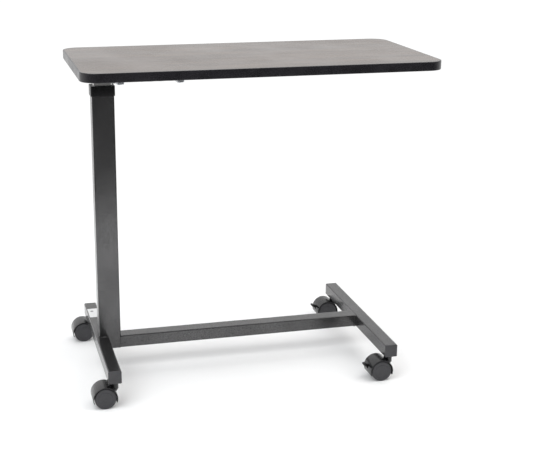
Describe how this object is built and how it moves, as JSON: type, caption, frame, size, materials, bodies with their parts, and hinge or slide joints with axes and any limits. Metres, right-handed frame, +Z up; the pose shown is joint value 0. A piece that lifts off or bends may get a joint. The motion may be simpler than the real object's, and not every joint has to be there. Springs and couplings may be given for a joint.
{
  "type": "overbed table",
  "caption": "Rolling overbed table: dark wood-look top cantilevered on a height-adjustable column over an H-shaped base with casters.",
  "frame": {"origin": "on the floor, under the middle of the tabletop and of the whole table", "axes": "+X along the tabletop, away from the column; +Y across the tabletop, away from the side seen first; +Z up"},
  "size_m": [0.762, 0.428, 0.7],
  "materials": {
    "board": "particle board",
    "wood_laminate": "satin dark walnut laminate",
    "backer": "matt black backing sheet",
    "edge_band": "black PVC edge band, satin",
    "zinc_steel": "zinc plated",
    "chrome_tube": "bright chrome plate",
    "nylon": "natural nylon",
    "steel": "plain machined steel",
    "brass": "turned brass",
    "black_steel": "black gloss paint",
    "black_plastic": "black moulded plastic, fine grain",
    "vein_paint": "dark silver-vein powder coat, semi-gloss",
    "cap_plastic": "dark grey moulded plastic",
    "label": "plain white film",
    "hood_plastic": "black nylon, glossy",
    "wheel_nylon": "dark grey nylon"
  },
  "bodies": {
    "base": {"outer_column": "vein_paint", "column_collar": "black_plastic", "upper_guide_bush": "nylon", "gas_spring_anchor": "steel", "gas_spring_cylinder": "black_steel", "gas_spring_guide": "steel", "spreader_tube": "vein_paint", "spreader_flange": "vein_paint", "foot_bolts": "zinc_steel", "foot_bolt_nuts": "zinc_steel", "left_foot_tube": "vein_paint", "right_foot_tube": "vein_paint", "foot_end_caps": "cap_plastic", "blank_label": "label", "front_left_socket": "black_plastic", "rear_left_socket": "black_plastic", "front_right_socket": "black_plastic", "rear_right_socket": "black_plastic", "front_left_stem": "steel", "rear_left_stem": "steel", "front_right_stem": "steel", "rear_right_stem": "steel"},
    "top": {"tabletop_core": "board", "tabletop_laminate": "wood_laminate", "tabletop_backer": "backer", "edge_band": "edge_band", "top_support_plate": "zinc_steel", "top_screws": "zinc_steel", "inner_column": "chrome_tube", "lower_glide": "nylon", "rod_head_block": "steel", "gas_spring_rod": "chrome_tube", "gas_spring_piston": "steel", "lever_bracket": "zinc_steel", "lever_pivot_pin": "steel"},
    "lever": {"release_lever": "black_steel", "lever_grip": "black_plastic"},
    "valve_pin": {"release_pin": "brass"},
    "front_left_caster": {"front_left_hood": "hood_plastic", "front_left_axle": "steel"},
    "front_left_outer_roller": {"front_left_outer_wheel": "wheel_nylon"},
    "front_left_inner_roller": {"front_left_inner_wheel": "wheel_nylon"},
    "rear_left_caster": {"rear_left_hood": "hood_plastic", "rear_left_axle": "steel"},
    "rear_left_outer_roller": {"rear_left_outer_wheel": "wheel_nylon"},
    "rear_left_inner_roller": {"rear_left_inner_wheel": "wheel_nylon"},
    "front_right_caster": {"front_right_hood": "hood_plastic", "front_right_axle": "steel"},
    "front_right_outer_roller": {"front_right_outer_wheel": "wheel_nylon"},
    "front_right_inner_roller": {"front_right_inner_wheel": "wheel_nylon"},
    "front_right_brake_lever": {"front_right_brake": "black_plastic"},
    "rear_right_caster": {"rear_right_hood": "hood_plastic", "rear_right_axle": "steel"},
    "rear_right_outer_roller": {"rear_right_outer_wheel": "wheel_nylon"},
    "rear_right_inner_roller": {"rear_right_inner_wheel": "wheel_nylon"},
    "rear_right_brake_lever": {"rear_right_brake": "black_plastic"}
  },
  "joints": [
    {"name": "column_lift", "type": "slide", "parent": "base", "child": "top", "axis": [0, 0, 1], "range_m": [0, 0.4]},
    {"name": "lever_press", "type": "hinge", "parent": "top", "child": "lever", "pos_m": [-0.288, 0, 0.6635], "axis": [0, -1, 0], "range_deg": [0, 6], "stiffness_Nm_per_rad": 8},
    {"name": "valve_press", "type": "slide", "parent": "top", "child": "valve_pin", "axis": [0, 0, -1], "range_m": [0, 0.0032]},
    {"name": "front_left_swivel", "type": "hinge", "parent": "base", "child": "front_left_caster", "pos_m": [-0.334, -0.191, 0.045], "axis": [0, 0, 1], "continuous": true},
    {"name": "front_left_outer_roll", "type": "hinge", "parent": "front_left_caster", "child": "front_left_outer_roller", "pos_m": [-0.355, -0.191, 0.0225], "axis": [0, 1, 0], "continuous": true},
    {"name": "front_left_inner_roll", "type": "hinge", "parent": "front_left_caster", "child": "front_left_inner_roller", "pos_m": [-0.355, -0.191, 0.0225], "axis": [0, 1, 0], "continuous": true},
    {"name": "rear_left_swivel", "type": "hinge", "parent": "base", "child": "rear_left_caster", "pos_m": [-0.334, 0.191, 0.045], "axis": [0, 0, 1], "continuous": true},
    {"name": "rear_left_outer_roll", "type": "hinge", "parent": "rear_left_caster", "child": "rear_left_outer_roller", "pos_m": [-0.355, 0.191, 0.0225], "axis": [0, 1, 0], "continuous": true},
    {"name": "rear_left_inner_roll", "type": "hinge", "parent": "rear_left_caster", "child": "rear_left_inner_roller", "pos_m": [-0.355, 0.191, 0.0225], "axis": [0, 1, 0], "continuous": true},
    {"name": "front_right_swivel", "type": "hinge", "parent": "base", "child": "front_right_caster", "pos_m": [0.276, -0.191, 0.045], "axis": [0, 0, 1], "continuous": true},
    {"name": "front_right_outer_roll", "type": "hinge", "parent": "front_right_caster", "child": "front_right_outer_roller", "pos_m": [0.255, -0.191, 0.0225], "axis": [0, 1, 0], "continuous": true},
    {"name": "front_right_inner_roll", "type": "hinge", "parent": "front_right_caster", "child": "front_right_inner_roller", "pos_m": [0.255, -0.191, 0.0225], "axis": [0, 1, 0], "continuous": true},
    {"name": "front_right_brake_press", "type": "hinge", "parent": "front_right_caster", "child": "front_right_brake_lever", "pos_m": [0.24, -0.191, 0.0255], "axis": [0, -1, 0], "range_deg": [0, 18]},
    {"name": "rear_right_swivel", "type": "hinge", "parent": "base", "child": "rear_right_caster", "pos_m": [0.276, 0.191, 0.045], "axis": [0, 0, 1], "continuous": true},
    {"name": "rear_right_outer_roll", "type": "hinge", "parent": "rear_right_caster", "child": "rear_right_outer_roller", "pos_m": [0.255, 0.191, 0.0225], "axis": [0, 1, 0], "continuous": true},
    {"name": "rear_right_inner_roll", "type": "hinge", "parent": "rear_right_caster", "child": "rear_right_inner_roller", "pos_m": [0.255, 0.191, 0.0225], "axis": [0, 1, 0], "continuous": true},
    {"name": "rear_right_brake_press", "type": "hinge", "parent": "rear_right_caster", "child": "rear_right_brake_lever", "pos_m": [0.24, 0.191, 0.0255], "axis": [0, -1, 0], "range_deg": [0, 18]}
  ],
  "couplings": [
    {"joint": "valve_press", "follows": "lever_press", "m_per_rad": 0.029}
  ]
}
